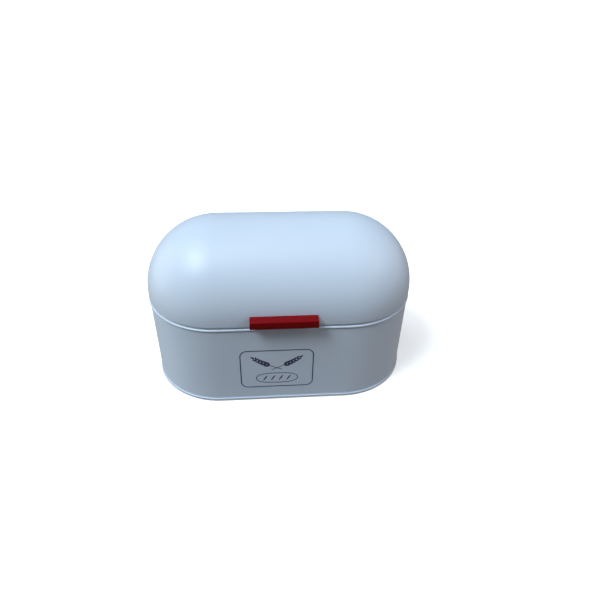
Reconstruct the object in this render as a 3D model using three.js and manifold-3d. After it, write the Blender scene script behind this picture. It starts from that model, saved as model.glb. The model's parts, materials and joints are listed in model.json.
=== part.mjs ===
// Oval steel bread box: a straight-walled body clinched into a rimmed base pan,
// and a domed flip lid that swings back on two hinges, opened by a red pull bar.
//
// Millimetres, +Z up, front facing -Y, origin on the ground under the middle of
// the whole object. Body pieces are drawn with height 0 at the underside of the
// pan's rim, and lid pieces with height 0 at the seam between body and lid.

import * as THREE from "three";
import { mergeVertices } from "three/addons/utils/BufferGeometryUtils.js";
import Module from "manifold-3d";

const wasm = await Module();
wasm.setup();

// Overall size
const LENGTH = 350; // body wall, outside, end to end
const DEPTH = 184; // body wall, outside, front to back
const SEAM_HEIGHT = 123.05; // in the gap between the bead and the lid's lower edge
const SHEET = 0.5; // steel sheet, coating included
const GAP = 0.3; // clearance between pieces that touch
const RADIUS = DEPTH / 2; // the oval's round ends
const HALF_STRAIGHT = LENGTH / 2 - RADIUS; // half of the oval's straight side
const ROUND_STEPS = 40; // facets round a full turn of the oval

// Body wall
const WALL_FOOT = 1.2;
const BEAD_OFFSET = RADIUS - 0.5; // middle of the round bead rolled into the wall
const BEAD_RADIUS = 1.75;
const BEAD_DROP = 1.1; // top of the bead below the seam
const BEAD_HEIGHT = SEAM_HEIGHT - BEAD_DROP - BEAD_RADIUS;
const NECK_OFFSET = RADIUS - 1.1; // above the bead the wall is set in, to fit inside the lid
const NECK_TOP = SEAM_HEIGHT + 4;
const VENT_COUNT = 5;
const VENT_PITCH = 14;
const VENT_RADIUS = 2.5;
const VENT_HEIGHT = 98;

// Base pan
const PAN_RIM_OFFSET = RADIUS + 1.5;
const PAN_RIM_HEIGHT = 4.2;
const PAN_PANEL_UNDERSIDE = 3.4;
const PAN_CHANNEL_FLOOR = 0.9; // under the foot of the wall
const PAN_RIM_ROUND = 0.4;

// Feet
const FOOT_RADIUS = 7;
const FOOT_CHAMFER = 0.5;
const FOOT_CLEARANCE = 0.8; // the feet lift the rim this far off the ground
const FOOT_X = 110;
const FOOT_Y = 74;

// Lid
const LID_RADIUS = RADIUS + 0.75; // the lid overhangs the wall a little
const LID_EDGE = 1.8; // height of the hemmed lower edge
const HEM_THICKNESS = 1.2; // the edge is folded back inside against the skirt
const HEM_TOP = 6;
const HEM_ROUND = 0.4;
const SKIRT_HEIGHT = 7.3; // straight part of the lid, above the seam
const DOME_STEPS = 10;

// Handle
const HANDLE_LENGTH = 83;
const HANDLE_FRONT = RADIUS + 12.8;
const HANDLE_BOTTOM = 6.4;
const HANDLE_TOP_BACK = 17.9;
const HANDLE_TOP_FRONT = 17.5;
const HANDLE_TOP_ROUND = 1.2;
const HANDLE_BOTTOM_ROUND = 2;
const SCREW_X = 28;
const SCREW_HEIGHT = 12.2;
const SCREW_RADIUS = 1.5;
const SCREW_TIP = RADIUS + 9.5;
const WASHER_FACE = RADIUS - 0.8; // washer's face towards the lid
const WASHER_THICKNESS = 0.8;
const WASHER_RADIUS = 4.5;
const SCREW_HEAD_RADIUS = 3.2;
const SCREW_HEAD_HEIGHT = 2.2;

// Hinges, drawn round their own axis: y backwards from it, z up from it
const HINGE_X = 65;
const HINGE_OFFSET = 3.25; // axis behind the wall's outer face
const HINGE_Y = RADIUS + HINGE_OFFSET;
const HINGE_WIDTH = 32;
const LEAF_THICKNESS = 0.8;
const KNUCKLE_RADIUS = 2.2;
const KNUCKLE_BORE = 1.25;
const KNUCKLE_GAP = 0.4;
const MIDDLE_KNUCKLE = 12; // width of the lid leaf's knuckle
const PIN_RADIUS = 1;
const PIN_HEAD_RADIUS = 1.7;
const PIN_HEAD_LENGTH = 0.7;
const BODY_LEAF_TOP = -5.5;
const BODY_LEAF_BOTTOM = -22;
const LID_LEAF_TOP = 20;
const STOP_WIDTH = 8;
const STOP_TIP = 7; // reach of the stop tab from the hinge axis
const STOP_THICKNESS = 0.9;
const STOP_ANGLE = -8; // degrees, below straight back when the lid is shut

// Rivets
const RIVET_X = 10; // each side of the hinge's middle
const RIVET_RADIUS = 1.4;
const RIVET_HEAD_RADIUS = 3;
const RIVET_HEAD_HEIGHT = 1.4;
const RIVET_TAIL_RADIUS = 2.4;
const RIVET_TAIL_HEIGHT = 1;
const BODY_RIVET_HEIGHT = -14;
const LID_RIVET_HEIGHT = 12;
const SMALL_SIDES = 12; // facets round rivets, screws and small holes
const BARREL_SIDES = 16; // facets round knuckles, washers and feet
const HOLE_REACH = 6; // half the length of a cutter through the sheet
const FACET_CLEARANCE = 0.6; // the lid's facets draw in this far above a rivet

// The stop tabs reach furthest back and the handle furthest forward.
const STOP_TURN = THREE.MathUtils.degToRad(STOP_ANGLE);
const STOP_REACH =
  STOP_TIP * Math.cos(STOP_TURN) - (STOP_THICKNESS / 2) * Math.sin(STOP_TURN);
const BODY_CENTRE_Y = (HANDLE_FRONT - HINGE_Y - STOP_REACH) / 2;

const enamel = new THREE.MeshStandardMaterial({ color: 0xdce6f0, roughness: 0.45, metalness: 0 });
const redPlastic = new THREE.MeshStandardMaterial({ color: 0x9c1f26, roughness: 0.4, metalness: 0 });
const zincSteel = new THREE.MeshStandardMaterial({ color: 0xb9bcc0, roughness: 0.35, metalness: 0.9 });
const rubber = new THREE.MeshStandardMaterial({ color: 0x2b2b2d, roughness: 0.9, metalness: 0 });

// ---- Solids ----

const point = (x, y) => new THREE.Vector2(x, y);

// Points on a circular arc, in degrees counter-clockwise from the first axis.
function arc(x, y, radius, from, to, steps) {
  return Array.from({ length: steps + 1 }, (_, i) => {
    const angle = THREE.MathUtils.degToRad(from + ((to - from) * i) / steps);
    return point(x + radius * Math.cos(angle), y + radius * Math.sin(angle));
  });
}

function solidOf(geometry) {
  geometry.deleteAttribute("normal");
  geometry.deleteAttribute("uv");
  const merged = mergeVertices(geometry, 1e-4);
  return new wasm.Manifold(
    new wasm.Mesh({
      numProp: 3,
      vertProperties: merged.attributes.position.array,
      triVerts: new Uint32Array(merged.index.array),
    }),
  );
}

function geometryOf(solid) {
  const { vertProperties, triVerts } = solid.getMesh();
  const geometry = new THREE.BufferGeometry();
  geometry.setAttribute("position", new THREE.BufferAttribute(vertProperties, 3));
  geometry.setIndex(new THREE.BufferAttribute(triVerts, 1));
  const facets = geometry.toNonIndexed();
  facets.computeVertexNormals();
  return facets;
}

// A bar along X, centred on x = 0, from a section drawn as (y, z) points.
function barAlongX(section, length) {
  const drawn = new THREE.ExtrudeGeometry(new THREE.Shape(section), {
    depth: length,
    bevelEnabled: false,
  });
  const turn = new THREE.Matrix4().makeBasis(
    new THREE.Vector3(0, 1, 0),
    new THREE.Vector3(0, 0, 1),
    new THREE.Vector3(1, 0, 0),
  );
  return solidOf(drawn.applyMatrix4(turn).translate(-length / 2, 0, 0));
}

// A filled oval solid: the profile's (offset, height) points start and end on
// the axis, and it runs round both ends and along both straight sides.
function ovalSolid(profile) {
  const end = new THREE.LatheGeometry(profile, ROUND_STEPS).rotateX(Math.PI / 2);
  const mirrored = profile
    .filter((p) => p.x > 1e-6)
    .map((p) => point(-p.x, p.y))
    .reverse();
  const middle = barAlongX([...profile, ...mirrored], 2 * HALF_STRAIGHT);
  const round = solidOf(end);
  return middle
    .add(round.translate([HALF_STRAIGHT, 0, 0]))
    .add(round.translate([-HALF_STRAIGHT, 0, 0]));
}

// An oval slab with square edges.
function ovalSlab(offset, bottom, top) {
  return ovalSolid([point(0, bottom), point(offset, bottom), point(offset, top), point(0, top)]);
}

// A turned piece along Y, from (radius, y) points.
function turned(profile, sides) {
  return solidOf(new THREE.LatheGeometry(profile, sides));
}

function rodAlongY(radius, from, to, sides) {
  const rod = new THREE.CylinderGeometry(radius, radius, to - from, sides);
  return solidOf(rod.translate(0, (from + to) / 2, 0));
}

function rodAlongX(radius, length, sides) {
  const rod = new THREE.CylinderGeometry(radius, radius, length, sides);
  return solidOf(rod.rotateZ(Math.PI / 2));
}

function blockOf(width, from, to) {
  const block = new THREE.BoxGeometry(width, to.y - from.y, to.z - from.z);
  return solidOf(block.translate(0, (from.y + to.y) / 2, (from.z + to.z) / 2));
}

function addPiece(group, name, solid, material) {
  const mesh = new THREE.Mesh(geometryOf(solid), material);
  mesh.name = name;
  group.add(mesh);
  return mesh;
}

// Holes along Y for the rivets of both hinges, at the given height.
function rivetHoles(height) {
  const holes = [];
  for (const hinge of [-HINGE_X, HINGE_X])
    for (const side of [-RIVET_X, RIVET_X]) {
      const hole = rodAlongY(
        RIVET_RADIUS + GAP,
        RADIUS - HOLE_REACH,
        RADIUS + HOLE_REACH,
        SMALL_SIDES,
      );
      holes.push(hole.translate([hinge + side, 0, height]));
    }
  return holes;
}

// ---- Body ----

// A sheet face that runs up the wall, out round the bead and up the neck, as an
// oval solid filled to the axis; inset is how far it lies inside the outer face.
function wallFace(inset, bottom, top) {
  const radius = BEAD_RADIUS - inset;
  const wallOffset = RADIUS - inset;
  const neckOffset = NECK_OFFSET - inset;
  const angleAt = (offset) => THREE.MathUtils.radToDeg(Math.acos((offset - BEAD_OFFSET) / radius));
  return ovalSolid([
    point(0, bottom),
    point(wallOffset, bottom),
    ...arc(BEAD_OFFSET, BEAD_HEIGHT, radius, -angleAt(wallOffset), angleAt(neckOffset), 7),
    point(neckOffset, top),
    point(0, top),
  ]);
}

// The oval sheet wall with a bead rolled into it below the neck, rivet holes for
// the hinges and a row of vent holes between them.
function bodyWall() {
  const outer = wallFace(0, WALL_FOOT, NECK_TOP);
  const inner = wallFace(SHEET, WALL_FOOT - 1, NECK_TOP + 1);
  let wall = outer.subtract(inner);
  for (const hole of rivetHoles(SEAM_HEIGHT + BODY_RIVET_HEIGHT)) wall = wall.subtract(hole);
  for (let i = 0; i < VENT_COUNT; i++) {
    const vent = rodAlongY(VENT_RADIUS, RADIUS - HOLE_REACH, RADIUS + HOLE_REACH, SMALL_SIDES);
    const x = (i - (VENT_COUNT - 1) / 2) * VENT_PITCH;
    wall = wall.subtract(vent.translate([x, 0, VENT_HEIGHT]));
  }
  return wall;
}

// The pressed bottom: a raised flat panel inside a rim folded up round the
// foot of the wall.
function basePan() {
  const block = ovalSolid([
    point(0, 0),
    point(PAN_RIM_OFFSET - PAN_RIM_ROUND, 0),
    point(PAN_RIM_OFFSET, PAN_RIM_ROUND),
    point(PAN_RIM_OFFSET, PAN_RIM_HEIGHT - PAN_RIM_ROUND),
    point(PAN_RIM_OFFSET - PAN_RIM_ROUND, PAN_RIM_HEIGHT),
    point(0, PAN_RIM_HEIGHT),
  ]);
  const channelInside = RADIUS - SHEET - GAP;
  const clearTop = PAN_RIM_HEIGHT + 1;
  const channel = ovalSlab(RADIUS + GAP, PAN_CHANNEL_FLOOR, clearTop).subtract(
    ovalSlab(channelInside, 0, clearTop + 1),
  );
  const abovePanel = ovalSlab(RADIUS - SHEET, PAN_PANEL_UNDERSIDE + SHEET, clearTop);
  const belowPanel = ovalSlab(channelInside - SHEET, -1, PAN_PANEL_UNDERSIDE);
  return block.subtract(channel).subtract(abovePanel).subtract(belowPanel);
}

// A rubber disc under the pan's panel.
function foot() {
  const top = PAN_PANEL_UNDERSIDE - GAP;
  const profile = [
    point(0, -FOOT_CLEARANCE),
    point(FOOT_RADIUS - FOOT_CHAMFER, -FOOT_CLEARANCE),
    point(FOOT_RADIUS, -FOOT_CLEARANCE + FOOT_CHAMFER),
    point(FOOT_RADIUS, top),
    point(0, top),
  ];
  return solidOf(new THREE.LatheGeometry(profile, BARREL_SIDES).rotateX(Math.PI / 2));
}

// ---- Lid ----

// The one-piece dome: hemmed edge, short straight skirt, then a quarter round.
function lidShell() {
  const inside = LID_RADIUS - SHEET;
  const hemInside = LID_RADIUS - HEM_THICKNESS;
  const outer = ovalSolid([
    point(0, LID_EDGE),
    point(LID_RADIUS - HEM_ROUND, LID_EDGE),
    point(LID_RADIUS, LID_EDGE + HEM_ROUND),
    ...arc(0, SKIRT_HEIGHT, LID_RADIUS, 0, 90, DOME_STEPS).slice(0, -1),
    point(0, SKIRT_HEIGHT + LID_RADIUS),
  ]);
  const inner = ovalSolid([
    point(0, -1),
    point(hemInside, -1),
    point(hemInside, HEM_TOP),
    point(inside, HEM_TOP),
    ...arc(0, SKIRT_HEIGHT, inside, 0, 90, DOME_STEPS).slice(0, -1),
    point(0, SKIRT_HEIGHT + inside),
  ]);
  let shell = outer.subtract(inner);
  for (const hole of rivetHoles(LID_RIVET_HEIGHT)) shell = shell.subtract(hole);
  for (const x of [-SCREW_X, SCREW_X]) {
    const hole = rodAlongY(
      SCREW_RADIUS + GAP,
      -RADIUS - HOLE_REACH,
      -RADIUS + HOLE_REACH,
      SMALL_SIDES,
    );
    shell = shell.subtract(hole.translate([x, 0, SCREW_HEIGHT]));
  }
  return shell;
}

// How far the lid's outer face has drawn in from the skirt at a height.
function domeDrop(height) {
  const above = Math.max(0, height - SKIRT_HEIGHT);
  return LID_RADIUS - Math.sqrt(LID_RADIUS ** 2 - above ** 2);
}

// The pull bar: nearly flat top, upright front, rounded underneath, with two
// pilot holes in its back.
function handle() {
  const back = (height) => -(LID_RADIUS + GAP - domeDrop(height));
  const topRoundY = -HANDLE_FRONT + HANDLE_TOP_ROUND;
  const bottomRoundY = -HANDLE_FRONT + HANDLE_BOTTOM_ROUND;
  const bar = barAlongX(
    [
      point(back(HANDLE_BOTTOM), HANDLE_BOTTOM),
      point(back(HANDLE_TOP_BACK), HANDLE_TOP_BACK),
      ...arc(topRoundY, HANDLE_TOP_FRONT - HANDLE_TOP_ROUND, HANDLE_TOP_ROUND, 90, 180, 3),
      ...arc(bottomRoundY, HANDLE_BOTTOM + HANDLE_BOTTOM_ROUND, HANDLE_BOTTOM_ROUND, 180, 270, 4),
    ],
    HANDLE_LENGTH,
  );
  const pilot = rodAlongY(SCREW_RADIUS + GAP, -SCREW_TIP - GAP, -RADIUS, SMALL_SIDES);
  return bar
    .subtract(pilot.translate([-SCREW_X, 0, SCREW_HEIGHT]))
    .subtract(pilot.translate([SCREW_X, 0, SCREW_HEIGHT]));
}

// A pan-head screw from inside the lid; its tip points forward.
function handleScrew() {
  const underHead = -(WASHER_FACE - WASHER_THICKNESS - GAP);
  return turned(
    [
      point(0, -SCREW_TIP),
      point(SCREW_RADIUS, -SCREW_TIP),
      point(SCREW_RADIUS, underHead),
      point(SCREW_HEAD_RADIUS, underHead),
      point(SCREW_HEAD_RADIUS, underHead + SCREW_HEAD_HEIGHT / 2),
      point(SCREW_HEAD_RADIUS - 1, underHead + SCREW_HEAD_HEIGHT),
      point(0, underHead + SCREW_HEAD_HEIGHT),
    ],
    SMALL_SIDES,
  );
}

function handleWasher() {
  const disc = rodAlongY(WASHER_RADIUS, -WASHER_FACE, -WASHER_FACE + WASHER_THICKNESS, BARREL_SIDES);
  return disc.subtract(
    rodAlongY(SCREW_RADIUS + GAP, -WASHER_FACE - 1, -WASHER_FACE + 2, SMALL_SIDES),
  );
}

// ---- Hinges ----

// The leaf on the wall: a plate below the bead, and an arm at each side that
// steps out past the bead to an outer knuckle.
function bodyLeaf() {
  const plateFace = GAP - HINGE_OFFSET;
  const armFace = BEAD_OFFSET + BEAD_RADIUS + GAP - HINGE_Y;
  const armWidth = (HINGE_WIDTH - MIDDLE_KNUCKLE) / 2 - KNUCKLE_GAP;
  const armSection = [
    point(plateFace, BODY_LEAF_TOP - 1),
    point(plateFace + LEAF_THICKNESS, BODY_LEAF_TOP - 1),
    point(armFace + LEAF_THICKNESS, BODY_LEAF_TOP + 1),
    point(armFace + LEAF_THICKNESS, 0),
    point(armFace, 0),
    point(armFace, BODY_LEAF_TOP + 1),
    point(plateFace, BODY_LEAF_TOP),
  ];
  const arm = barAlongX(armSection, armWidth)
    .add(rodAlongX(KNUCKLE_RADIUS, armWidth, BARREL_SIDES))
    .subtract(rodAlongX(KNUCKLE_BORE, HINGE_WIDTH, BARREL_SIDES));
  const armX = (HINGE_WIDTH - armWidth) / 2;
  let leaf = blockOf(
    HINGE_WIDTH,
    { y: plateFace, z: BODY_LEAF_BOTTOM },
    { y: plateFace + LEAF_THICKNESS, z: BODY_LEAF_TOP },
  )
    .add(arm.translate([-armX, 0, 0]))
    .add(arm.translate([armX, 0, 0]));
  for (const x of [-RIVET_X, RIVET_X]) {
    const hole = rodAlongY(RIVET_RADIUS + GAP, -HINGE_OFFSET - 1, 0, SMALL_SIDES);
    leaf = leaf.subtract(hole.translate([x, 0, BODY_RIVET_HEIGHT]));
  }
  return leaf;
}

// The leaf on the lid: a plate curved to the lid, the middle knuckle, and the
// stop tab that meets the body leaf when the lid is fully open.
function lidLeaf() {
  const face = (height) => LID_RADIUS + GAP - domeDrop(height) - HINGE_Y;
  const heights = [0, SKIRT_HEIGHT, (SKIRT_HEIGHT + LID_LEAF_TOP) / 2, LID_LEAF_TOP];
  const section = [
    ...heights.map((height) => point(face(height), height)),
    ...heights.map((height) => point(face(height) + LEAF_THICKNESS, height)).reverse(),
  ];
  const notchTop = KNUCKLE_RADIUS + KNUCKLE_GAP;
  const sideWidth = (HINGE_WIDTH - MIDDLE_KNUCKLE) / 2;
  const notch = blockOf(sideWidth, { y: -5, z: -1 }, { y: 5, z: notchTop });
  const notchX = (MIDDLE_KNUCKLE + sideWidth) / 2;
  const stop = barAlongX(
    [
      point(KNUCKLE_BORE + GAP, -STOP_THICKNESS / 2),
      point(STOP_TIP, -STOP_THICKNESS / 2),
      point(STOP_TIP, STOP_THICKNESS / 2),
      point(KNUCKLE_BORE + GAP, STOP_THICKNESS / 2),
    ],
    STOP_WIDTH,
  ).rotate([STOP_ANGLE, 0, 0]);
  let leaf = barAlongX(section, HINGE_WIDTH)
    .subtract(notch.translate([-notchX, 0, 0]))
    .subtract(notch.translate([notchX, 0, 0]))
    .add(rodAlongX(KNUCKLE_RADIUS, MIDDLE_KNUCKLE, BARREL_SIDES))
    .add(stop)
    .subtract(rodAlongX(KNUCKLE_BORE, HINGE_WIDTH, BARREL_SIDES));
  for (const x of [-RIVET_X, RIVET_X]) {
    const hole = rodAlongY(RIVET_RADIUS + GAP, -HINGE_OFFSET - 1, 0, SMALL_SIDES);
    leaf = leaf.subtract(hole.translate([x, 0, LID_RIVET_HEIGHT]));
  }
  return leaf;
}

// The hinge pin, peened over at both ends.
function hingePin() {
  const shank = HINGE_WIDTH / 2 + GAP;
  const end = shank + PIN_HEAD_LENGTH;
  return solidOf(
    new THREE.LatheGeometry(
      [
        point(0, -end),
        point(PIN_HEAD_RADIUS, -end),
        point(PIN_HEAD_RADIUS, -shank),
        point(PIN_RADIUS, -shank),
        point(PIN_RADIUS, shank),
        point(PIN_HEAD_RADIUS, shank),
        point(PIN_HEAD_RADIUS, end),
        point(0, end),
      ],
      SMALL_SIDES,
    ).rotateZ(Math.PI / 2),
  );
}

// A rivet along Y: tail inside at innerFace, domed head outside at outerFace,
// both measured from the hinge axis.
function rivet(innerFace, outerFace) {
  const tail = innerFace - GAP;
  const head = outerFace + GAP;
  return turned(
    [
      point(0, tail - RIVET_TAIL_HEIGHT),
      point(RIVET_TAIL_RADIUS, tail - RIVET_TAIL_HEIGHT),
      point(RIVET_TAIL_RADIUS, tail),
      point(RIVET_RADIUS, tail),
      point(RIVET_RADIUS, head),
      point(RIVET_HEAD_RADIUS, head),
      point(RIVET_HEAD_RADIUS * 0.75, head + RIVET_HEAD_HEIGHT * 0.7),
      point(0, head + RIVET_HEAD_HEIGHT),
    ],
    SMALL_SIDES,
  );
}

// One hinge with its pin and four rivets, on its own axis.
function addHinge(group, side) {
  addPiece(group, `hinge_${side}_body_leaf`, bodyLeaf(), zincSteel);
  addPiece(group, `hinge_${side}_lid_leaf`, lidLeaf(), zincSteel);
  addPiece(group, `hinge_${side}_pin`, hingePin(), zincSteel);
  const wallInside = -HINGE_OFFSET - SHEET;
  const bodyLeafOutside = -HINGE_OFFSET + GAP + LEAF_THICKNESS;
  const lidFace = LID_RADIUS - HINGE_Y;
  const lidInside = lidFace - SHEET - FACET_CLEARANCE;
  const lidLeafOutside = lidFace + GAP + LEAF_THICKNESS - domeDrop(LID_RIVET_HEIGHT);
  ["outer", "inner"].forEach((place, i) => {
    const towardsEnd = side === "left" ? -1 : 1;
    const x = (i === 0 ? RIVET_X : -RIVET_X) * towardsEnd;
    const onBody = rivet(wallInside, bodyLeafOutside);
    addPiece(group, `rivet_body_${side}_${place}`, onBody, zincSteel)
      .position.set(x, 0, BODY_RIVET_HEIGHT);
    const onLid = rivet(lidInside, lidLeafOutside);
    addPiece(group, `rivet_lid_${side}_${place}`, onLid, zincSteel)
      .position.set(x, 0, LID_RIVET_HEIGHT);
  });
}

// ---- Assembly ----

const breadBox = new THREE.Group();

const body = new THREE.Group();
body.position.set(0, BODY_CENTRE_Y, FOOT_CLEARANCE);
breadBox.add(body);
addPiece(body, "body_wall", bodyWall(), enamel);
addPiece(body, "base_pan", basePan(), enamel);
for (const [end, y] of [["front", -FOOT_Y], ["back", FOOT_Y]])
  for (const [side, x] of [["left", -FOOT_X], ["right", FOOT_X]])
    addPiece(body, `foot_${end}_${side}`, foot(), rubber).position.set(x, y, 0);

const lid = new THREE.Group();
lid.position.set(0, BODY_CENTRE_Y, FOOT_CLEARANCE + SEAM_HEIGHT);
breadBox.add(lid);
addPiece(lid, "lid_shell", lidShell(), enamel);
addPiece(lid, "handle", handle(), redPlastic);
for (const [side, x] of [["left", -SCREW_X], ["right", SCREW_X]]) {
  addPiece(lid, `handle_screw_${side}`, handleScrew(), zincSteel).position.set(x, 0, SCREW_HEIGHT);
  addPiece(lid, `handle_washer_${side}`, handleWasher(), zincSteel).position.set(x, 0, SCREW_HEIGHT);
}

for (const [side, x] of [["left", -HINGE_X], ["right", HINGE_X]]) {
  const hinge = new THREE.Group();
  hinge.position.set(x, HINGE_Y, 0);
  lid.add(hinge);
  addHinge(hinge, side);
}

export default breadBox;
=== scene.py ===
"""Looks for the oval bread box: fine meshes, materials, a printed front, light and camera.

Everything is in metres in the part's own frame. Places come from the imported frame.
"""

import json
import math

import bmesh
import bpy
from mathutils import Euler, Matrix, Vector


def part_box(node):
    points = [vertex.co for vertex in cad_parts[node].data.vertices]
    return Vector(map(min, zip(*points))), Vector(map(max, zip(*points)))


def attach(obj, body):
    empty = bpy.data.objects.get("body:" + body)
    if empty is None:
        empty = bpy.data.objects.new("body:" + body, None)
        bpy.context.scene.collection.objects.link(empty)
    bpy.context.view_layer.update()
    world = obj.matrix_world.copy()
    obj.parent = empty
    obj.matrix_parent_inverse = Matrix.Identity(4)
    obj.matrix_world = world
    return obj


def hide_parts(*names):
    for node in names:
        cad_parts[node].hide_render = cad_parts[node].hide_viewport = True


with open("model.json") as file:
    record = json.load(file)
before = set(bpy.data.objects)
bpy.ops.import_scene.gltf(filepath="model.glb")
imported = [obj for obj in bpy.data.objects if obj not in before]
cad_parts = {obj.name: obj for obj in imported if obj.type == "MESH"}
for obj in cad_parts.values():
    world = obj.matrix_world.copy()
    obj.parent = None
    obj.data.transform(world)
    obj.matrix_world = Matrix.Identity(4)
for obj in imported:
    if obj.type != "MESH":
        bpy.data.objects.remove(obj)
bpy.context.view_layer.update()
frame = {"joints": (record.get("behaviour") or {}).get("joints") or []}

MM = 0.001

# ---- Places taken from the frame ----

PAN_LOW, PAN_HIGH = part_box("base_pan")
LID_LOW, LID_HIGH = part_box("lid_shell")
HANDLE_LOW, HANDLE_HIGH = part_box("handle")
FOOT_LOW, FOOT_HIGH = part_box("foot_front_left")
HINGE = next(j for j in frame["joints"] if j["name"] == "lid_hinge")
HINGE_Y, SEAM = HINGE["pos_m"][1], HINGE["pos_m"][2]

PAN_RIM = 1.5 * MM  # the pan's rim stands this far out from the wall
RADIUS = (PAN_HIGH.y - PAN_LOW.y) / 2 - PAN_RIM
HALF_STRAIGHT = (PAN_HIGH.x - PAN_LOW.x - PAN_HIGH.y + PAN_LOW.y) / 2
CENTRE_Y = (PAN_LOW.y + PAN_HIGH.y) / 2
GROUND_GAP = PAN_LOW.z  # the feet hold the rim off the floor
FRONT_Y = CENTRE_Y - RADIUS  # the wall's flat front
LID_RADIUS = (LID_HIGH.y - LID_LOW.y) / 2

# ---- Sizes of the sheet work ----

SHEET = 0.5 * MM
WELD = 0.002 * MM  # points closer than this are joined after a cut
BEAD_OFFSET = RADIUS - 0.5 * MM
BEAD_RADIUS = 1.75 * MM
BEAD_Z = SEAM - 1.1 * MM - BEAD_RADIUS
HEM_GAP = 0.2 * MM  # between the lid's skirt and the sheet folded back inside it
HEM_ROUND = SHEET + HEM_GAP / 2
HEM_TOP = LID_LOW.z + 4 * MM
NECK_OFFSET = RADIUS - 1.1 * MM  # above the bead the wall is set in, to fit inside the lid
NECK_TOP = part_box("body_wall")[1].z
DOME_Z = LID_HIGH.z - LID_RADIUS  # the dome's quarter round starts here
WALL_FOOT_Z = GROUND_GAP + 1.2 * MM
PANEL_Z = GROUND_GAP + 3.4 * MM  # underside of the pan's raised panel

VENT_COUNT = 5
VENT_PITCH = 14 * MM
VENT_RADIUS = 2.5 * MM
VENT_Z = GROUND_GAP + 98 * MM

END_STEPS = 56  # steps round each end of the oval
SIDE_STEPS = 28  # steps along each straight side


# ---- Mesh helpers ----


def arc(x, z, radius, start, end, steps):
    """Points on an arc, with angles in degrees."""
    turns = [math.radians(start + (end - start) * i / steps) for i in range(steps + 1)]
    return [(x + radius * math.cos(t), z + radius * math.sin(t)) for t in turns]


def line(start, end, steps):
    """Points from start up to, but not including, end."""
    return [
        (start[0] + (end[0] - start[0]) * i / steps, start[1] + (end[1] - start[1]) * i / steps)
        for i in range(steps)
    ]


def oval_stations():
    """Places round the oval, each as the x of its centre and the direction out of it."""
    stations = []
    for i in range(END_STEPS):
        turn = math.radians(-90 + 180 * i / END_STEPS)
        stations.append((HALF_STRAIGHT, math.cos(turn), math.sin(turn)))
    for i in range(SIDE_STEPS):
        stations.append((HALF_STRAIGHT * (1 - 2 * i / SIDE_STEPS), 0.0, 1.0))
    return stations + [(-x, -dx, -dy) for x, dx, dy in stations]


def oval_sweep(profile, closed=True):
    """A mesh from a profile of (offset, z) points carried round the oval.

    A profile that isn't closed starts and ends on the oval's middle line.
    """
    bm = bmesh.new()
    rings = [
        [bm.verts.new((x + offset * dx, CENTRE_Y + offset * dy, z)) for offset, z in profile]
        for x, dx, dy in oval_stations()
    ]
    count = len(profile) if closed else len(profile) - 1
    for ring, following in zip(rings, rings[1:] + rings[:1]):
        for i in range(count):
            j = (i + 1) % len(profile)
            bm.faces.new((ring[i], following[i], following[j], ring[j]))
    bmesh.ops.remove_doubles(bm, verts=bm.verts, dist=1e-7)
    return bm


def lathe(profile, steps, centre, axis="Z"):
    """A closed turned mesh from (radius, height) points that start and end on the axis."""
    bm = bmesh.new()
    rings = []
    for i in range(steps):
        turn = 2 * math.pi * i / steps
        rings.append(
            [bm.verts.new((r * math.cos(turn), r * math.sin(turn), h)) for r, h in profile]
        )
    closed = profile[0][0] > 1e-9
    count = len(profile) if closed else len(profile) - 1
    for ring, following in zip(rings, rings[1:] + rings[:1]):
        for i in range(count):
            j = (i + 1) % len(profile)
            bm.faces.new((ring[i], following[i], following[j], ring[j]))
    bmesh.ops.remove_doubles(bm, verts=bm.verts, dist=1e-8)
    turn_to = {"X": Euler((0, math.pi / 2, 0)), "Y": Euler((-math.pi / 2, 0, 0)), "Z": Euler()}
    bmesh.ops.transform(
        bm, verts=bm.verts, matrix=Matrix.Translation(centre) @ turn_to[axis].to_matrix().to_4x4()
    )
    return bm


def bar_along_x(section, x_low, x_high):
    """A bar along X from a closed section of (y, z) points."""
    bm = bmesh.new()
    face = bm.faces.new([bm.verts.new((x_low, y, z)) for y, z in section])
    moved = bmesh.ops.extrude_face_region(bm, geom=[face])["geom"]
    ends = [g for g in moved if isinstance(g, bmesh.types.BMVert)]
    bmesh.ops.translate(bm, verts=ends, vec=(x_high - x_low, 0, 0))
    return bm


def new_object(name, bm):
    """Turns a bmesh into an object in the scene, with its faces turned outward."""
    bmesh.ops.recalc_face_normals(bm, faces=bm.faces)
    mesh = bpy.data.meshes.new(name)
    bm.to_mesh(mesh)
    bm.free()
    obj = bpy.data.objects.new(name, mesh)
    bpy.context.scene.collection.objects.link(obj)
    return obj


def apply_modifiers(obj):
    """Replaces the mesh with what its modifiers make of it."""
    bpy.context.view_layer.update()
    finished = obj.evaluated_get(bpy.context.evaluated_depsgraph_get())
    mesh = bpy.data.meshes.new_from_object(finished)
    obj.modifiers.clear()
    obj.data = mesh


def bevel(obj, width, segments=3, angle=40):
    """Rounds every edge sharper than the angle."""
    modifier = obj.modifiers.new("round", "BEVEL")
    modifier.width = width
    modifier.segments = segments
    modifier.limit_method = "ANGLE"
    modifier.angle_limit = math.radians(angle)
    modifier.harden_normals = False
    apply_modifiers(obj)


def boolean(obj, other, operation):
    """Cuts the other object out of this one or joins it on, and welds the slivers left."""
    modifier = obj.modifiers.new("cut", "BOOLEAN")
    modifier.operation = operation
    modifier.solver = "EXACT"
    modifier.object = other
    apply_modifiers(obj)
    bpy.data.objects.remove(other)
    bm = bmesh.new()
    bm.from_mesh(obj.data)
    bmesh.ops.remove_doubles(bm, verts=bm.verts, dist=WELD)
    bm.to_mesh(obj.data)
    bm.free()


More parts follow.
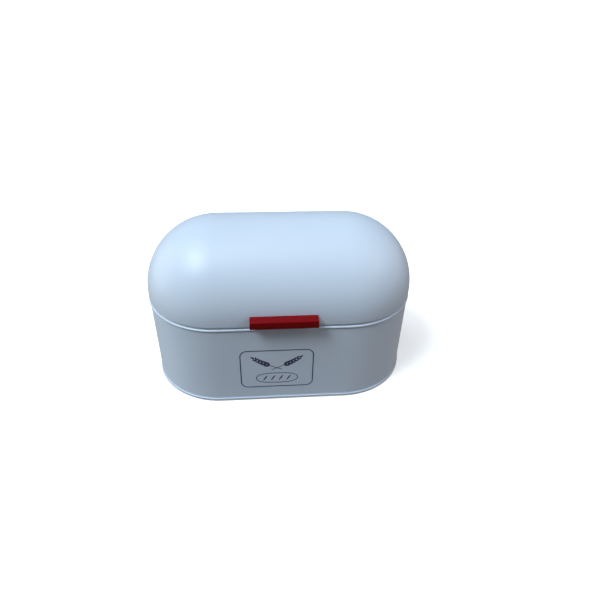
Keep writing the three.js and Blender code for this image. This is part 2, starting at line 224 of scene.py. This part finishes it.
def finish_piece(obj, body, material, replaced=(), smooth_angle=35):
    """Shades the piece, gives it its material and body, and hides the CAD nodes it stands for."""
    obj.data.shade_smooth()
    obj.data.set_sharp_from_angle(angle=math.radians(smooth_angle))
    obj.data.materials.clear()
    obj.data.materials.append(material)
    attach(obj, body)
    if replaced:
        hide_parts(*replaced)
    return obj


# ---- Materials ----


class Nodes:
    """A few words for building a material's node tree."""

    def __init__(self, name):
        self.material = bpy.data.materials.new(name)
        self.material.use_nodes = True
        self.tree = self.material.node_tree
        self.shader = self.tree.nodes["Principled BSDF"]
        coordinates = self.tree.nodes.new("ShaderNodeTexCoord")
        self.place = coordinates.outputs["Object"]

    def noise(self, scale, detail=2.0, roughness=0.5, stretch=(1, 1, 1)):
        """Noise with features about 1 / scale metres across."""
        mapping = self.tree.nodes.new("ShaderNodeMapping")
        mapping.inputs["Scale"].default_value = stretch
        self.tree.links.new(self.place, mapping.inputs["Vector"])
        noise = self.tree.nodes.new("ShaderNodeTexNoise")
        noise.inputs["Scale"].default_value = scale
        noise.inputs["Detail"].default_value = detail
        noise.inputs["Roughness"].default_value = roughness
        self.tree.links.new(mapping.outputs["Vector"], noise.inputs["Vector"])
        return noise.outputs["Fac"]

    def spread(self, value, low, high, from_low=0.3, from_high=0.7):
        """The value stretched onto low to high."""
        node = self.tree.nodes.new("ShaderNodeMapRange")
        node.inputs["From Min"].default_value = from_low
        node.inputs["From Max"].default_value = from_high
        node.inputs["To Min"].default_value = low
        node.inputs["To Max"].default_value = high
        self.tree.links.new(value, node.inputs["Value"])
        return node.outputs["Result"]

    def mix(self, factor, first, second):
        """A colour between two colours; each is a colour or another node's output."""
        node = self.tree.nodes.new("ShaderNodeMix")
        node.data_type = "RGBA"
        self.tree.links.new(factor, node.inputs["Factor"])
        for socket, colour in ((node.inputs[6], first), (node.inputs[7], second)):
            if isinstance(colour, tuple):
                socket.default_value = (*colour, 1)
            else:
                self.tree.links.new(colour, socket)
        return node.outputs[2]

    def bump(self, height, distance, strength=1.0, under=None):
        node = self.tree.nodes.new("ShaderNodeBump")
        node.inputs["Strength"].default_value = strength
        node.inputs["Distance"].default_value = distance
        self.tree.links.new(height, node.inputs["Height"])
        if under is not None:
            self.tree.links.new(under, node.inputs["Normal"])
        return node.outputs["Normal"]

    def link(self, output, socket):
        self.tree.links.new(output, self.shader.inputs[socket])

    def set(self, **values):
        for socket, value in values.items():
            self.shader.inputs[socket.replace("_", " ")].default_value = value


def powder_coat(name, colour, shade):
    """Satin powder coat on steel: orange peel, faint waviness and uneven gloss."""
    n = Nodes(name)
    cloud = n.spread(n.noise(14, 3), 0, 1)
    n.link(n.mix(cloud, colour, shade), "Base Color")
    n.link(n.spread(n.noise(160, 4, 0.6), 0.40, 0.50), "Roughness")
    peel = n.bump(n.noise(620, 2, 0.4), 0.035 * MM, 0.6)
    wavy = n.bump(n.noise(28, 1, 0.3), 0.12 * MM, 0.35, under=peel)
    n.link(wavy, "Normal")
    n.set(Metallic=0.0, Coat_Weight=0.12, Coat_Roughness=0.32)
    return n.material


def red_plastic():
    """Glossy moulded plastic with a fine mould grain."""
    n = Nodes("red_plastic")
    streak = n.spread(n.noise(60, 3, 0.55, stretch=(0.25, 1, 1)), 0, 1)
    n.link(n.mix(streak, (0.190, 0.0030, 0.0050), (0.170, 0.0025, 0.0040)), "Base Color")
    n.link(n.spread(n.noise(500, 3), 0.42, 0.54), "Roughness")
    n.link(n.bump(n.noise(2600, 2), 0.015 * MM, 0.5), "Normal")
    n.set(Metallic=0.0, Specular_IOR_Level=0.07)
    return n.material


def zinc_steel():
    """Zinc-plated steel: faint brushed lines and a cloudy grey."""
    n = Nodes("zinc_steel")
    cloud = n.spread(n.noise(220, 3), 0, 1)
    n.link(n.mix(cloud, (0.66, 0.67, 0.69), (0.52, 0.53, 0.55)), "Base Color")
    lines = n.noise(2400, 3, 0.6, stretch=(0.06, 1, 1))
    n.link(n.spread(lines, 0.26, 0.44), "Roughness")
    n.link(n.bump(lines, 0.012 * MM, 0.5), "Normal")
    n.set(Metallic=1.0)
    return n.material


def rubber():
    """Dull black rubber, slightly dusty."""
    n = Nodes("foot_rubber")
    dust = n.spread(n.noise(300, 4, 0.6), 0, 1, 0.45, 0.8)
    n.link(n.mix(dust, (0.018, 0.018, 0.019), (0.05, 0.049, 0.047)), "Base Color")
    n.link(n.bump(n.noise(1800, 2), 0.03 * MM, 0.6), "Normal")
    n.set(Metallic=0.0, Roughness=0.85)
    return n.material


def print_ink():
    """Navy screen-print ink, a little uneven in cover."""
    n = Nodes("print_ink")
    cover = n.spread(n.noise(900, 3, 0.6), 0, 1, 0.4, 0.75)
    n.link(n.mix(cover, (0.030, 0.036, 0.095), (0.050, 0.058, 0.125)), "Base Color")
    n.link(n.spread(n.noise(400, 2), 0.45, 0.6), "Roughness")
    n.set(Metallic=0.0)
    return n.material


ENAMEL = powder_coat("white_enamel", (0.605, 0.675, 0.755), (0.590, 0.660, 0.740))
RED = red_plastic()
ZINC = zinc_steel()
RUBBER = rubber()
INK = print_ink()


# ---- Body ----


def bead_arc(inset):
    """The bead from the wall round to the neck; inset is how far inside the outer face."""
    radius = BEAD_RADIUS - inset
    wall, neck = (
        math.degrees(math.acos((offset - inset - BEAD_OFFSET) / radius))
        for offset in (RADIUS, NECK_OFFSET)
    )
    return arc(BEAD_OFFSET, BEAD_Z, radius, -wall, neck, 22)


def make_body_wall():
    """The oval wall with its bead and set-in neck, and the vent holes in the back."""
    outer, inner = RADIUS, RADIUS - SHEET
    bead, inside_bead = bead_arc(0), bead_arc(SHEET)
    profile = line((inner, WALL_FOOT_Z), (outer, WALL_FOOT_Z), 1)
    profile += line((outer, WALL_FOOT_Z), bead[0], 14)
    profile += bead
    profile += arc(NECK_OFFSET - SHEET / 2, NECK_TOP - SHEET / 2, SHEET / 2, 0, 180, 8)
    profile += inside_bead[:0:-1]
    profile += line(inside_bead[0], (inner, WALL_FOOT_Z), 14)
    wall = new_object("body_wall_fine", oval_sweep(profile))
    reach = 3 * MM
    hole = [(0, -reach), (VENT_RADIUS, -reach), (VENT_RADIUS, reach), (0, reach)]
    for i in range(VENT_COUNT):
        x = (i - (VENT_COUNT - 1) / 2) * VENT_PITCH
        cutter = new_object("vent_cutter", lathe(hole, 40, (x, CENTRE_Y + RADIUS, VENT_Z), "Y"))
        boolean(wall, cutter, "DIFFERENCE")
    return finish_piece(wall, "body", ENAMEL, ["body_wall"])


def make_base_pan():
    """The pressed pan: panel with a stiffening ring, and the rim seamed round the wall."""
    rim_out = RADIUS + PAN_RIM
    low, high = PAN_LOW.z, PAN_HIGH.z
    top = PANEL_Z + SHEET
    groove_in, groove_out = RADIUS - 0.8 * MM, RADIUS + 0.12 * MM
    floor = low + 0.9 * MM
    ring, half_width, lift = RADIUS - 22 * MM, 4 * MM, 0.9 * MM  # the stiffening ring
    top_round, foot_round, step_round = 0.69 * MM, 0.7 * MM, 0.9 * MM
    leg_round = 0.5 * MM

    def panel_rise(offset):
        away = abs(offset - ring) / half_width
        return lift * 0.5 * (1 + math.cos(math.pi * away)) if away < 1 else 0.0

    offsets = [0.0] + [ring - half_width + half_width * 2 * i / 16 for i in range(17)]
    upper = [(o, top + panel_rise(o)) for o in offsets] + [(groove_in - 2 * MM, top)]
    lower = [(o, z - SHEET) for o, z in reversed(upper[:-1])]
    inner_leg = groove_in - SHEET
    profile = upper
    profile += arc(groove_in - step_round, top - step_round, step_round, 90, 0, 6)
    profile += [(groove_in, floor + 0.1 * MM), (groove_out, floor + 0.1 * MM)]
    profile += line((groove_out, floor + 0.1 * MM), (groove_out, high - 0.5 * MM), 3)
    profile += arc(rim_out - top_round, high - top_round, top_round, 180, 0, 12)
    profile += arc(rim_out - foot_round, low + foot_round, foot_round, 0, -90, 8)
    profile += arc(inner_leg + leg_round, low + leg_round, leg_round, -90, -180, 6)
    profile += arc(inner_leg - step_round, top - SHEET - step_round, step_round, 0, 90, 6)
    profile += lower
    pan = new_object("base_pan_fine", oval_sweep(profile, closed=False))
    return finish_piece(pan, "body", ENAMEL, ["base_pan"])


def make_feet():
    """Four turned rubber discs under the pan."""
    radius = (FOOT_HIGH.x - FOOT_LOW.x) / 2
    foot_round, top_round, top_gap = 0.8 * MM, 0.5 * MM, 0.05 * MM
    top = PANEL_Z - top_gap
    for end in ("front", "back"):
        for side in ("left", "right"):
            node = f"foot_{end}_{side}"
            low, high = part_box(node)
            centre = (low + high) / 2
            profile = [(0, low.z)]
            profile += arc(radius - foot_round, low.z + foot_round, foot_round, -90, 0, 6)
            profile += arc(radius - top_round, top - top_round, top_round, 0, 90, 5)
            profile += [(0, top)]
            foot = new_object(node + "_fine", lathe(profile, 48, (centre.x, centre.y, 0)))
            finish_piece(foot, "body", RUBBER, [node])


# ---- Lid ----


def make_lid_shell():
    """The one-piece dome, its skirt folded back inside in a flat hem."""
    inside = LID_RADIUS - SHEET
    fold, fold_z = LID_RADIUS - HEM_ROUND, LID_LOW.z + HEM_ROUND
    hem_inside = fold - HEM_ROUND
    profile = arc(0, DOME_Z, LID_RADIUS, 90, 0, 40)
    profile[0] = (0.0, DOME_Z + LID_RADIUS)
    profile += line((LID_RADIUS, DOME_Z), (LID_RADIUS, fold_z), 3)[1:]
    profile += arc(fold, fold_z, HEM_ROUND, 0, -180, 14)
    profile += arc(hem_inside + SHEET / 2, HEM_TOP, SHEET / 2, 180, 0, 6)
    profile += arc(fold, fold_z, HEM_GAP / 2, -180, 0, 4)
    profile += [(inside, fold_z + 1.5 * MM)]
    inner_dome = arc(0, DOME_Z, inside, 0, 90, 40)
    inner_dome[-1] = (0.0, DOME_Z + inside)
    profile += inner_dome
    shell = new_object("lid_shell_fine", oval_sweep(profile, closed=False))
    return finish_piece(shell, "lid", ENAMEL, ["lid_shell"])


def dome_drop(height):
    """How far the lid's outer face has drawn in at this height."""
    above = max(0.0, height - DOME_Z)
    return LID_RADIUS - math.sqrt(LID_RADIUS**2 - above**2)


def make_handle():
    """The pull bar: nearly flat top, upright front, rounded under, grooved for the fingers."""
    seat = 0.12 * MM  # clearance to the lid
    bottom, top_back = HANDLE_LOW.z, HANDLE_HIGH.z
    top_front = top_back - 0.4 * MM
    front = HANDLE_LOW.y
    top_round, bottom_round = 1.3 * MM, 2 * MM
    groove_depth, steps = 0.9 * MM, 8

    def back(height):
        return CENTRE_Y - LID_RADIUS - seat + dome_drop(height)

    heights = [bottom + (top_back - bottom) * i / steps for i in range(steps + 1)]
    section = [(back(height), height) for height in heights]
    section += arc(front + top_round, top_front - top_round, top_round, 90, 180, steps)
    section += arc(front + bottom_round, bottom + bottom_round, bottom_round, 180, 262, steps)
    groove_from, groove_to = front + 3.4 * MM, back(bottom) - 1.6 * MM
    for i in range(steps + 1):
        share = i / steps
        y = groove_from + (groove_to - groove_from) * share
        section.append((y, bottom + groove_depth * math.sin(math.pi * share)))
    handle = new_object("handle_fine", bar_along_x(section, HANDLE_LOW.x, HANDLE_HIGH.x))
    bevel(handle, 0.7 * MM, segments=4)
    return finish_piece(handle, "lid", RED, ["handle"])


def make_screw(side, under):
    """A pan-head screw with a cross slot; under is the y of the head's seat."""
    node = f"handle_screw_{side}"
    low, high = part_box(node)
    centre = (low + high) / 2
    head, shank, point = (high.x - low.x) / 2, 1.5 * MM, 1.2 * MM
    head_round, head_height = 1.3 * MM, 2.2 * MM
    profile = [(0, low.y), (shank, low.y + point), (shank, under), (head, under)]
    profile += arc(head - head_round, under + 0.8 * MM, head_round, 0, 90, 6)
    profile += [(0, under + head_height)]
    screw = new_object(node + "_fine", lathe(profile, 40, (centre.x, 0, centre.z), "Y"))
    slot_length, slot_depth, slot_width = 3.4 * MM, 2.2 * MM, 0.75 * MM
    for turn in (45, -45):
        slot = bmesh.new()
        bmesh.ops.create_cube(slot, size=1)
        matrix = (
            Matrix.Translation((centre.x, under + 2.1 * MM, centre.z))
            @ Matrix.Rotation(math.radians(turn), 4, "Y")
            @ Matrix.Diagonal((slot_length, slot_depth, slot_width, 1))
        )
        bmesh.ops.transform(slot, verts=slot.verts, matrix=matrix)
        boolean(screw, new_object("slot_cutter", slot), "DIFFERENCE")
    finish_piece(screw, "lid", ZINC, [node])


def make_washer(side):
    """A flat washer with a small chamfer on both faces."""
    node = f"handle_washer_{side}"
    low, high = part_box(node)
    centre_x, centre_z = (low.x + high.x) / 2, (low.z + high.z) / 2
    outer, bore, chamfer = (high.x - low.x) / 2, 1.8 * MM, 0.15 * MM
    ring = [(bore, low.y), (outer - chamfer, low.y), (outer, low.y + chamfer)]
    ring += [(outer, high.y - chamfer), (outer - chamfer, high.y), (bore, high.y)]
    washer = new_object(node + "_fine", lathe(ring, 48, (centre_x, 0, centre_z), "Y"))
    finish_piece(washer, "lid", ZINC, [node])


def make_handle_fixings():
    """The two cross-head screws and washers inside the lid."""
    for side in ("left", "right"):
        washer_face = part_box(f"handle_washer_{side}")[1].y
        make_screw(side, washer_face + 0.02 * MM)
        make_washer(side)


# ---- Hinges ----

LEAF = 0.8 * MM
CURL = 1.725 * MM  # hinge axis to the middle of the knuckle's sheet
MIDDLE_KNUCKLE = 12 * MM
KNUCKLE_GAP = 0.4 * MM
PLATE_GAP = 0.1 * MM  # between a plate and the sheet it is riveted to
LEAF_CORNER = 3 * MM
BODY_PLATE_LOW, JOG_LOW, JOG_HIGH = 22 * MM, 6.9 * MM, 4.5 * MM  # below the seam
LID_PLATE_HIGH, LID_PLATE_LOW = 20 * MM, 2.6 * MM  # above the seam


def bent_leaf(path, x_ranges, corner_radius):
    """A sheet bent along a path of (y, z) points; x_ranges gives its strips of x per step."""
    bm = bmesh.new()
    made = {}

    def vertex(x, i):
        key = (round(x * 1e7), i)
        if key not in made:
            made[key] = bm.verts.new((x, *path[i]))
        return made[key]

    for i in range(len(path) - 1):
        for x_low, x_high in x_ranges(i):
            lower = (vertex(x_low, i), vertex(x_high, i))
            upper = (vertex(x_high, i + 1), vertex(x_low, i + 1))
            bm.faces.new(lower + upper)
    ends = [v for v in bm.verts if len(v.link_faces) == 1 and v.co.yz == Vector(path[0])]
    bmesh.ops.bevel(
        bm, geom=ends, offset=corner_radius, segments=6, affect="VERTICES", profile=0.5
    )
    return bm


def thicken(obj):
    """Gives a bent leaf its thickness, half to each side, and rounds its edges."""
    modifier = obj.modifiers.new("sheet", "SOLIDIFY")
    modifier.thickness = LEAF
    modifier.offset = 0
    modifier.use_even_offset = True
    apply_modifiers(obj)
    bevel(obj, 0.12 * MM, segments=2, angle=50)


def body_leaf(x, half):
    """Plate on the wall, two arms out past the bead, each curled round the pin."""
    plate_y = CENTRE_Y + RADIUS + PLATE_GAP + LEAF / 2
    arm_y = HINGE_Y - CURL
    path = line((plate_y, SEAM - BODY_PLATE_LOW), (plate_y, SEAM - JOG_LOW), 4)
    jog = 8
    for i in range(jog + 1):
        share = i / jog
        ease = share * share * (3 - 2 * share)
        z = SEAM - JOG_LOW + (JOG_LOW - JOG_HIGH) * share
        path.append((plate_y + (arm_y - plate_y) * ease, z))
    split = len(path) - jog + 3  # the middle of the plate ends just above the jog's start
    path += line((arm_y, SEAM - JOG_HIGH), (arm_y, SEAM), 2)[1:]
    path += arc(HINGE_Y, SEAM, CURL, 180, -125, 30)
    arm = half - MIDDLE_KNUCKLE / 2 - KNUCKLE_GAP
    cuts = [x - half, x - half + arm, x + half - arm, x + half]

    def strips(i):
        arms = [(cuts[0], cuts[1]), (cuts[2], cuts[3])]
        return arms + [(cuts[1], cuts[2])] if i < split else arms

    return bent_leaf(path, strips, LEAF_CORNER)


def lid_leaf(x, half):
    """Plate on the lid, its middle strip curled round the pin."""

    def face(z):
        return CENTRE_Y + LID_RADIUS + PLATE_GAP + LEAF / 2 - dome_drop(z)

    steps = 8
    heights = [
        SEAM + LID_PLATE_HIGH - (LID_PLATE_HIGH - LID_PLATE_LOW) * i / steps
        for i in range(steps + 1)
    ]
    path = [(face(z), z) for z in heights]
    split = len(path) - 1
    start_y = face(SEAM + LID_PLATE_LOW)
    for share in (0.25, 0.5, 0.75):
        z = SEAM + LID_PLATE_LOW * (1 - share)
        path.append((start_y + (HINGE_Y - CURL - start_y) * share, z))
    path += arc(HINGE_Y, SEAM, CURL, 180, 485, 30)
    middle = MIDDLE_KNUCKLE / 2
    cuts = [x - half, x - middle, x + middle, x + half]

    def strips(i):
        centre = [(cuts[1], cuts[2])]
        return centre + [(cuts[0], cuts[1]), (cuts[2], cuts[3])] if i < split else centre

    return bent_leaf(path, strips, LEAF_CORNER)


def stop_tab(x):
    """The tab that meets the body leaf when the lid is fully open."""
    bm = bmesh.new()
    bmesh.ops.create_cube(bm, size=1)
    width, length, thick = 8 * MM, 5.4 * MM, 0.9 * MM
    from_axis, tilt = 1.6 * MM, math.radians(-8)
    matrix = (
        Matrix.Translation((x, HINGE_Y, SEAM))
        @ Matrix.Rotation(tilt, 4, "X")
        @ Matrix.Translation((0, from_axis + length / 2, 0))
        @ Matrix.Diagonal((width, length, thick, 1))
    )
    bmesh.ops.transform(bm, verts=bm.verts, matrix=matrix)
    return bm


def domed_rivet(head_radius, tail_radius, shank, tail, wall, face, head):
    """Rivet profile along its axis: flat tail, shank through the sheets, domed head."""
    edge, steps = 0.25 * MM, 8
    profile = [(0, tail)]
    profile += arc(tail_radius - edge, tail + edge, edge, -90, 0, 4)
    profile += [(tail_radius, wall), (shank, wall), (shank, face), (head_radius, face)]
    for i in range(1, steps + 1):
        turn = math.radians(90 * i / steps)
        height = face + edge + (head - face - edge) * math.sin(turn)
        profile.append((head_radius * math.cos(turn), height))
    profile[-1] = (0, head)
    return profile


def make_leaves(side, x, half):
    """The two leaves of one hinge; the lid's leaf carries the stop tab."""
    node = f"hinge_{side}_body_leaf"
    leaf = new_object(node + "_fine", body_leaf(x, half))
    thicken(leaf)
    finish_piece(leaf, "body", ZINC, [node])

    node = f"hinge_{side}_lid_leaf"
    leaf = new_object(node + "_fine", lid_leaf(x, half))
    thicken(leaf)
    tab = new_object("stop_tab", stop_tab(x))
    bevel(tab, 0.15 * MM, segments=2)
    boolean(leaf, tab, "UNION")
    finish_piece(leaf, "lid", ZINC, [node])


def make_pin(side, x, half):
    """The hinge pin, with a domed head at each end."""
    node = f"hinge_{side}_pin"
    low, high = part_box(node)
    end, shank = (high.x - low.x) / 2, half + 0.1 * MM
    head_radius, pin_radius = 1.7 * MM, 1.05 * MM
    profile = [(0, -end)]
    for turn in (math.radians(15 * i) for i in range(1, 7)):
        along = -shank - (end - shank) * math.cos(turn)
        profile.append((head_radius * math.sin(turn), along))
    profile += [(pin_radius, -shank)]
    profile += [(r, -h) for r, h in reversed(profile)]
    pin = new_object(node + "_fine", lathe(profile, 32, (x, HINGE_Y, SEAM), "X"))
    finish_piece(pin, "body", ZINC, [node])


def make_rivet(node, body, radius):
    """A rivet through a leaf and the sheet; radius is that of the wall or the lid."""
    low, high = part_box(node)
    centre = (low + high) / 2
    sheet_face = CENTRE_Y + radius - dome_drop(centre.z)
    face = sheet_face + PLATE_GAP + LEAF + 0.02 * MM
    wall = sheet_face - SHEET - 0.05 * MM
    head_radius, tail_radius, shank = 3 * MM, 2.4 * MM, 1.4 * MM
    tail, head = wall - 0.9 * MM, face + 1.4 * MM
    profile = domed_rivet(head_radius, tail_radius, shank, tail, wall, face, head)
    rivet = new_object(node + "_fine", lathe(profile, 36, (centre.x, 0, centre.z), "Y"))
    finish_piece(rivet, body, ZINC, [node])


def make_hinges():
    """Both hinges at the back: leaves, pin and rivets."""
    for side in ("left", "right"):
        low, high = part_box(f"hinge_{side}_body_leaf")
        x, half = (low.x + high.x) / 2, (high.x - low.x) / 2
        make_leaves(side, x, half)
        make_pin(side, x, half)
        for place in ("outer", "inner"):
            make_rivet(f"rivet_body_{side}_{place}", "body", RADIUS)
            make_rivet(f"rivet_lid_{side}_{place}", "lid", LID_RADIUS)


# ---- Printed front ----

INK_DEPTH = 0.05 * MM
INK_LIFT = 0.01 * MM
FRAME_LEFT, FRAME_RIGHT = -56 * MM, 38 * MM
FRAME_LOW, FRAME_HIGH = GROUND_GAP + 22.5 * MM, GROUND_GAP + 85.5 * MM
FRAME_CORNER, FRAME_LINE = 9 * MM, 1.5 * MM


def stroke(bm, points, width, closed=False):
    """A flat line of even width through (x, z) points."""
    count = len(points)
    sides = []
    for i, (x, z) in enumerate(points):
        before = points[i - 1] if closed or i > 0 else points[i]
        after = points[(i + 1) % count] if closed or i < count - 1 else points[i]
        first = Vector((x - before[0], z - before[1]))
        second = Vector((after[0] - x, after[1] - z))
        first = first.normalized() if first.length > 1e-9 else second.normalized()
        second = second.normalized() if second.length > 1e-9 else first
        along = (first + second).normalized()
        normal = Vector((-along.y, along.x))
        reach = width / 2 / max(0.35, normal.dot(Vector((-first.y, first.x))))
        sides.append(
            (
                bm.verts.new((x + normal.x * reach, 0, z + normal.y * reach)),
                bm.verts.new((x - normal.x * reach, 0, z - normal.y * reach)),
            )
        )
    pairs = list(zip(sides, sides[1:])) + ([(sides[-1], sides[0])] if closed else [])
    for (a, b), (c, d) in pairs:
        bm.faces.new((a, b, d, c))


def blob(bm, x, z, length, width, turn, pointed=1.0):
    """A filled seed shape, narrower at its far end when pointed."""
    verts = []
    steps = 20
    cos, sin = math.cos(turn), math.sin(turn)
    for i in range(steps):
        t = 2 * math.pi * i / steps
        along = length / 2 * math.cos(t)
        across = width / 2 * math.sin(t) * (1 - pointed * 0.45 * math.cos(t))
        verts.append(bm.verts.new((x + along * cos - across * sin, 0, z + along * sin + across * cos)))
    bm.faces.new(verts)


def rounded_frame(left, right, low, high, corner):
    """The closed outline of a plaque with rounded corners."""
    points = arc(right - corner, low + corner, corner, -90, 0, 8)
    points += arc(right - corner, high - corner, corner, 0, 90, 8)
    points += arc(left + corner, high - corner, corner, 90, 180, 8)
    points += arc(left + corner, low + corner, corner, 180, 270, 8)
    return points


def add_loaf(bm, x, z, length, height):
    """A long loaf in outline, with slanted cuts across it."""
    outline = []
    for i in range(56):
        turn = 2 * math.pi * i / 56
        c, s = math.cos(turn), math.sin(turn)
        dx = length / 2 * math.copysign(abs(c) ** 0.7, c)
        outline.append((x + dx, z + height / 2 * math.copysign(abs(s) ** 0.85, s)))
    stroke(bm, outline, 1.15 * MM, closed=True)
    for i in range(4):
        middle = x + (i - 1.5) * length * 0.19
        blob(bm, middle, z, height * 0.62, 1.9 * MM, math.radians(58), pointed=0)


def add_wheat(bm, x, z, lean, size, side):
    """An ear of wheat that leans to one side: bent stalk, paired seeds and a top seed."""

    def stalk(t):
        bow = 0.16 * size * math.sin(t * math.pi / 2)
        dx = math.cos(lean) * size * t + math.sin(lean) * bow
        return x + side * dx, z + math.sin(lean) * size * t - math.cos(lean) * bow

    def direction(t):
        (from_x, from_z), (to_x, to_z) = stalk(t), stalk(t + 0.02)
        return math.atan2(to_z - from_z, to_x - from_x)

    def seed(t, length, splay):
        turn = direction(t) + splay
        seed_x, seed_z = stalk(t)
        reach = 0.55 * length
        blob(bm, seed_x + math.cos(turn) * reach, seed_z + math.sin(turn) * reach,
             length, length * 0.44, turn)

    stroke(bm, [stalk(t / 12) for t in range(7)], 1.0 * MM)
    for i in range(5):
        for splay in (-0.55, 0.55):
            seed(0.42 + 0.11 * i, size * (0.175 - 0.008 * i), splay)
    seed(0.95, size * 0.15, 0)


def make_print():
    """A plain plaque with a loaf under two crossed ears of wheat, in one ink, no lettering."""
    middle = (FRAME_LEFT + FRAME_RIGHT) / 2
    bm = bmesh.new()
    frame_line = rounded_frame(FRAME_LEFT, FRAME_RIGHT, FRAME_LOW, FRAME_HIGH, FRAME_CORNER)
    stroke(bm, frame_line, FRAME_LINE, closed=True)
    add_loaf(bm, middle, FRAME_LOW + 15.5 * MM, length=54 * MM, height=17 * MM)
    wheat_z, lean, size = FRAME_LOW + 30 * MM, math.radians(38), 42 * MM
    for side in (-1, 1):
        add_wheat(bm, middle - side * 7 * MM, wheat_z, lean, size, side)

    moved = bmesh.ops.extrude_face_region(bm, geom=list(bm.faces))["geom"]
    front = [g for g in moved if isinstance(g, bmesh.types.BMVert)]
    bmesh.ops.translate(bm, verts=front, vec=(0, -INK_DEPTH, 0))
    bmesh.ops.translate(bm, verts=bm.verts, vec=(0, FRONT_Y - INK_LIFT, 0))
    return finish_piece(new_object("front_print", bm), "body", INK)


# ---- Stage, light and camera ----

FLOOR_RADIUS = 14


def stage_material(name, colour, glow):
    """Matte and slightly glowing, as an over-lit studio sweep looks."""
    n = Nodes(name)
    n.set(Base_Color=(*colour, 1), Roughness=1.0, Specular_IOR_Level=0.0)
    n.set(Emission_Color=(1, 1, 1, 1), Emission_Strength=glow)
    return n.material


def set_stage(obj, material):
    """Only the camera sees the stage: the light on the object comes from the lights alone."""
    obj.data.materials.append(material)
    obj.visible_diffuse = False
    obj.visible_glossy = False
    obj.visible_shadow = False


def make_floor():
    """A plain pale disc under the object."""
    bm = bmesh.new()
    bmesh.ops.create_circle(bm, cap_ends=True, segments=64, radius=FLOOR_RADIUS)
    set_stage(new_object("floor", bm), stage_material("pale_floor", (0.90, 0.85, 0.80), 0.40))


def make_backdrop():
    """A plain glowing globe round everything, as bright as the floor."""
    bm = bmesh.new()
    bmesh.ops.create_uvsphere(bm, u_segments=48, v_segments=24, radius=FLOOR_RADIUS)
    backdrop = new_object("backdrop", bm)
    set_stage(backdrop, stage_material("pale_backdrop", (0, 0, 0), 1.0))


def make_sky():
    """Dim surroundings: a little cool light from above, a little pale light from below."""
    world = bpy.data.worlds.new("studio")
    world.use_nodes = True
    bpy.context.scene.world = world
    tree = world.node_tree
    place = tree.nodes.new("ShaderNodeTexCoord")
    split = tree.nodes.new("ShaderNodeSeparateXYZ")
    ramp = tree.nodes.new("ShaderNodeValToRGB")
    tree.links.new(place.outputs["Generated"], split.inputs[0])
    tree.links.new(split.outputs["Z"], ramp.inputs["Fac"])
    ramp.color_ramp.elements[0].position = 0.0
    ramp.color_ramp.elements[0].color = (0.18, 0.155, 0.125, 1)
    ramp.color_ramp.elements[1].position = 0.05
    ramp.color_ramp.elements[1].color = (0.05, 0.08, 0.14, 1)
    tree.links.new(ramp.outputs["Color"], tree.nodes["Background"].inputs["Color"])


def make_lights():
    """Soft studio lights: azimuth, elevation and spread in degrees, strength, colour."""
    cool, neutral = (0.78, 0.91, 1.0), (0.97, 0.98, 1.0)
    lights = {
        "key": (-60, 55, 20, 1.85, cool),
        "overhead": (-70, 65, 45, 1.5, cool),
        "right_fill": (70, 40, 45, 0.9, neutral),
        "left_back": (-105, 10, 45, 0.95, neutral),
        "right_back": (105, 10, 45, 0.35, neutral),
    }
    for name, (azimuth, elevation, spread, strength, colour) in lights.items():
        light = bpy.data.lights.new(name, "SUN")
        light.angle = math.radians(spread)
        light.energy = strength
        light.color = colour
        obj = bpy.data.objects.new(name, light)
        obj.rotation_euler = Euler((math.radians(90 - elevation), 0, math.radians(azimuth)))
        bpy.context.scene.collection.objects.link(obj)


CAMERA_LENS = 29.88
CAMERA_YAW, CAMERA_PITCH, CAMERA_ROLL = 5.28, 35.73, 1.43  # degrees
CAMERA_PLACE = Vector((-0.025, CENTRE_Y - 0.5667, GROUND_GAP + 0.5062))


def make_camera():
    """A hand-held camera, looking down at the front from a little left of the middle."""
    camera = bpy.data.cameras.new("camera")
    camera.sensor_width = 36
    camera.lens = CAMERA_LENS
    camera.clip_start = 0.01
    camera.clip_end = 100
    obj = bpy.data.objects.new("camera", camera)
    bpy.context.scene.collection.objects.link(obj)
    yaw, pitch, roll = (math.radians(a) for a in (CAMERA_YAW, CAMERA_PITCH, CAMERA_ROLL))
    forward = Vector(
        (math.sin(yaw) * math.cos(pitch), math.cos(yaw) * math.cos(pitch), -math.sin(pitch))
    )
    level = Vector((math.cos(yaw), -math.sin(yaw), 0))
    upright = level.cross(forward)
    right = math.cos(roll) * level + math.sin(roll) * upright
    up = -math.sin(roll) * level + math.cos(roll) * upright
    turn = Matrix((right, up, -forward)).transposed()
    obj.matrix_world = Matrix.Translation(CAMERA_PLACE) @ turn.to_4x4()
    bpy.context.scene.camera = obj


make_camera()
make_body_wall()
make_base_pan()
make_feet()
make_lid_shell()
make_handle()
make_handle_fixings()
make_hinges()
make_print()
make_floor()
make_backdrop()
make_sky()
make_lights()
bpy.context.scene.view_settings.view_transform = "Standard"
